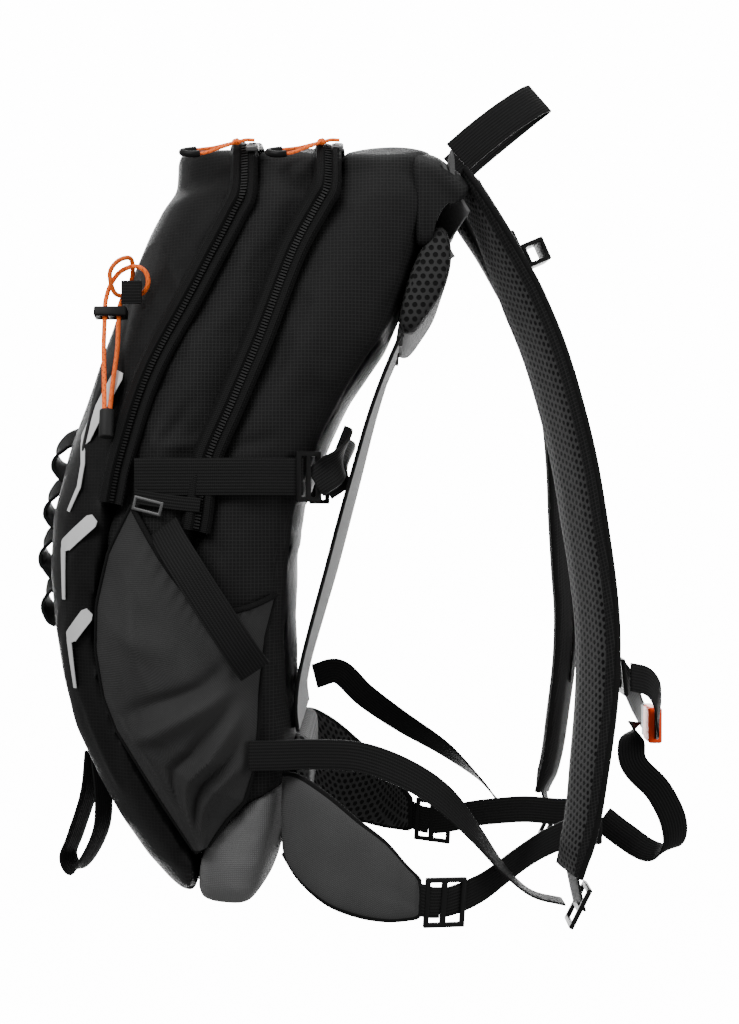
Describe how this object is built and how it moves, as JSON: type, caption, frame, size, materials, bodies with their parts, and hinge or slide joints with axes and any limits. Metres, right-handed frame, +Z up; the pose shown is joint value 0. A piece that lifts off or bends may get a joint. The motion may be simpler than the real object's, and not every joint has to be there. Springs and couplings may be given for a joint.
{
  "type": "backpack",
  "caption": "Ski day pack with arched zip openings, a tensioned mesh back sheet, padded shoulder straps, chest strap, hip belt, side pockets and tool loops",
  "frame": {"origin": "middle of the wearer's back, on the pack's mid-plane, half way up the pack", "axes": "+X from the bag towards the wearer, +Y towards the wearer's left, +Z up as worn"},
  "size_m": [0.4747, 0.305, 0.602],
  "materials": {
    "black_plastic": "moulded acetal",
    "black_webbing": "woven webbing",
    "dark_rubber": "moulded",
    "grey_fabric": "matt grey woven fabric",
    "mesh_fabric": "spacer mesh",
    "orange_cord": "braided cord",
    "orange_plastic": "moulded acetal",
    "panel_fabric": "smooth coated fabric",
    "pocket_fabric": "stretch knit",
    "shell_fabric": "matt grid ripstop",
    "stay_aluminium": "mill finish",
    "wire_steel": "bent wire",
    "zip_black": "coil zip tape",
    "zip_metal": "dull die-cast metal"
  },
  "bodies": {
    "bag": {"front_pocket": "panel_fabric", "middle_compartment": "shell_fabric", "main_compartment": "shell_fabric", "back_panel": "shell_fabric", "bottom_boot": "grey_fabric", "frame_stay": "stay_aluminium", "front_zip": "zip_black", "main_zip": "zip_black", "side_pocket_right": "pocket_fabric", "side_pocket_left": "pocket_fabric", "compression_strap_right": "black_webbing", "compression_strap_left": "black_webbing", "compression_anchor_right": "black_webbing", "compression_anchor_left": "black_webbing", "tension_ring_right": "wire_steel", "tension_ring_left": "wire_steel", "diagonal_strap_right": "black_webbing", "diagonal_strap_left": "black_webbing", "daisy_chain": "black_webbing", "tool_bungee": "orange_cord", "bungee_tab": "black_webbing", "bungee_cord_end": "dark_rubber", "strap_yoke": "shell_fabric", "upper_back_pad": "mesh_fabric", "back_sheet": "mesh_fabric", "lumbar_pad": "mesh_fabric", "strap_webbing_right": "black_webbing", "strap_webbing_left": "black_webbing"},
    "main_slider": {"main_zip_slider": "zip_metal"},
    "front_slider": {"front_zip_slider": "zip_metal"},
    "main_pull": {"main_pull_cord": "orange_cord", "main_pull_grip": "black_plastic"},
    "front_pull": {"front_pull_cord": "orange_cord", "front_pull_grip": "black_plastic"},
    "grab_handle": {"haul_loop": "black_webbing"},
    "tool_loop": {"axe_loop": "black_webbing"},
    "toggle": {"bungee_toggle": "black_plastic"},
    "side_buckle_right": {"compression_buckle_right": "black_plastic"},
    "side_buckle_left": {"compression_buckle_left": "black_plastic"},
    "right_strap": {"shoulder_strap_right": "shell_fabric", "hose_clip_base": "black_plastic"},
    "left_strap": {"shoulder_strap_left": "shell_fabric"},
    "tube_clip": {"hose_clip": "black_plastic"},
    "right_strap_lock": {"strap_ladder_lock_right": "black_plastic"},
    "left_strap_lock": {"strap_ladder_lock_left": "black_plastic"},
    "chest_right": {"sternum_slider_right": "black_plastic", "sternum_webbing_right": "black_webbing", "sternum_buckle_socket": "orange_plastic", "sternum_tail": "black_webbing"},
    "chest_left": {"sternum_slider_left": "black_plastic", "sternum_webbing_left": "black_webbing"},
    "chest_plug": {"sternum_buckle_plug": "black_plastic"},
    "belt": {"hip_wing_right": "grey_fabric", "hip_wing_left": "grey_fabric", "hip_webbing_right": "black_webbing", "hip_webbing_left": "black_webbing", "hip_buckle_socket": "black_plastic"},
    "belt_plug": {"hip_buckle_plug": "black_plastic"},
    "right_belt_lock": {"hip_ladder_lock_right": "black_plastic"},
    "left_belt_lock": {"hip_ladder_lock_left": "black_plastic"}
  },
  "joints": [
    {"name": "main_zip_travel", "type": "hinge", "parent": "bag", "child": "main_slider", "pos_m": [-0.022, 0, 0.002], "axis": [-1, 0, 0], "range_deg": [0, 40]},
    {"name": "main_pull_flip", "type": "hinge", "parent": "main_slider", "child": "main_pull", "pos_m": [-0.0204, -0.0932, 0.2538], "axis": [0, 1, 0], "range_deg": [0, 150]},
    {"name": "front_zip_travel", "type": "hinge", "parent": "bag", "child": "front_slider", "pos_m": [-0.08, 0, 0.002], "axis": [-1, 0, 0], "range_deg": [0, 40]},
    {"name": "front_pull_flip", "type": "hinge", "parent": "front_slider", "child": "front_pull", "pos_m": [-0.0784, -0.0932, 0.2538], "axis": [0, 1, 0], "range_deg": [0, 150]},
    {"name": "grab_handle_flex", "type": "hinge", "parent": "bag", "child": "grab_handle", "pos_m": [0.06, 0, 0.261], "axis": [0, 1, 0], "range_deg": [-20, 20], "stiffness_Nm_per_rad": 0.5},
    {"name": "tool_loop_swing", "type": "hinge", "parent": "bag", "child": "tool_loop", "pos_m": [-0.2065, 0, -0.176], "axis": [0, 1, 0], "range_deg": [0, 60]},
    {"name": "toggle_slide", "type": "slide", "parent": "bag", "child": "toggle", "axis": [0, -0.2239, -0.9746], "range_m": [0, 0.015]},
    {"name": "side_buckle_right_tilt", "type": "hinge", "parent": "bag", "child": "side_buckle_right", "pos_m": [-0.0488, -0.1219, 0.0235], "axis": [0, 0, -1], "range_deg": [0, 5]},
    {"name": "side_buckle_left_tilt", "type": "hinge", "parent": "bag", "child": "side_buckle_left", "pos_m": [-0.0488, 0.1219, 0.0235], "axis": [0, 0, 1], "range_deg": [0, 5]},
    {"name": "right_strap_swing", "type": "hinge", "parent": "bag", "child": "right_strap", "pos_m": [0.058, 0, 0.236], "axis": [0, 1, 0], "range_deg": [-12, 1], "stiffness_Nm_per_rad": 3, "deforming": ["strap_webbing_right"]},
    {"name": "left_strap_swing", "type": "hinge", "parent": "bag", "child": "left_strap", "pos_m": [0.058, 0, 0.236], "axis": [0, 1, 0], "range_deg": [-12, 1], "stiffness_Nm_per_rad": 3, "deforming": ["strap_webbing_left"]},
    {"name": "tube_clip_swivel", "type": "hinge", "parent": "right_strap", "child": "tube_clip", "pos_m": [0.1064, -0.0698, 0.1765], "axis": [0.8993, 0.1801, 0.3985], "range_deg": [-90, 90]},
    {"name": "right_strap_lock_tilt", "type": "hinge", "parent": "right_strap", "child": "right_strap_lock", "pos_m": [0.1488, -0.089, -0.2575], "axis": [0, 1, 0], "range_deg": [0, 12]},
    {"name": "left_strap_lock_tilt", "type": "hinge", "parent": "left_strap", "child": "left_strap_lock", "pos_m": [0.1488, 0.089, -0.2335], "axis": [0, 1, 0], "range_deg": [0, 12]},
    {"name": "chest_height_right", "type": "slide", "parent": "right_strap", "child": "chest_right", "axis": [-0.0896, 0, 0.996], "range_m": [-0.012, 0.02]},
    {"name": "chest_height_left", "type": "slide", "parent": "left_strap", "child": "chest_left", "axis": [-0.0896, 0, 0.996], "range_m": [-0.012, 0.02]},
    {"name": "chest_buckle_release", "type": "slide", "parent": "chest_left", "child": "chest_plug", "axis": [0, 1, 0], "range_m": [0, 0.022], "deforming": ["sternum_webbing_left"]},
    {"name": "belt_swing", "type": "hinge", "parent": "bag", "child": "belt", "pos_m": [-0.055, 0, -0.2], "axis": [0, 1, 0], "range_deg": [-3.5, 12], "stiffness_Nm_per_rad": 2},
    {"name": "belt_buckle_release", "type": "slide", "parent": "belt", "child": "belt_plug", "axis": [0, 1, 0], "range_m": [0, 0.025], "deforming": ["hip_webbing_left"]},
    {"name": "right_belt_lock_tilt", "type": "hinge", "parent": "belt", "child": "right_belt_lock", "pos_m": [0.0385, -0.1085, -0.264], "axis": [0, 0, 1], "range_deg": [-8, 8]},
    {"name": "left_belt_lock_tilt", "type": "hinge", "parent": "belt", "child": "left_belt_lock", "pos_m": [0.0385, 0.1085, -0.248], "axis": [0, 0, 1], "range_deg": [-8, 8]}
  ],
  "couplings": [
    {"joint": "left_strap_swing", "follows": "right_strap_swing", "ratio": 1},
    {"joint": "chest_height_left", "follows": "chest_height_right", "ratio": 1}
  ]
}
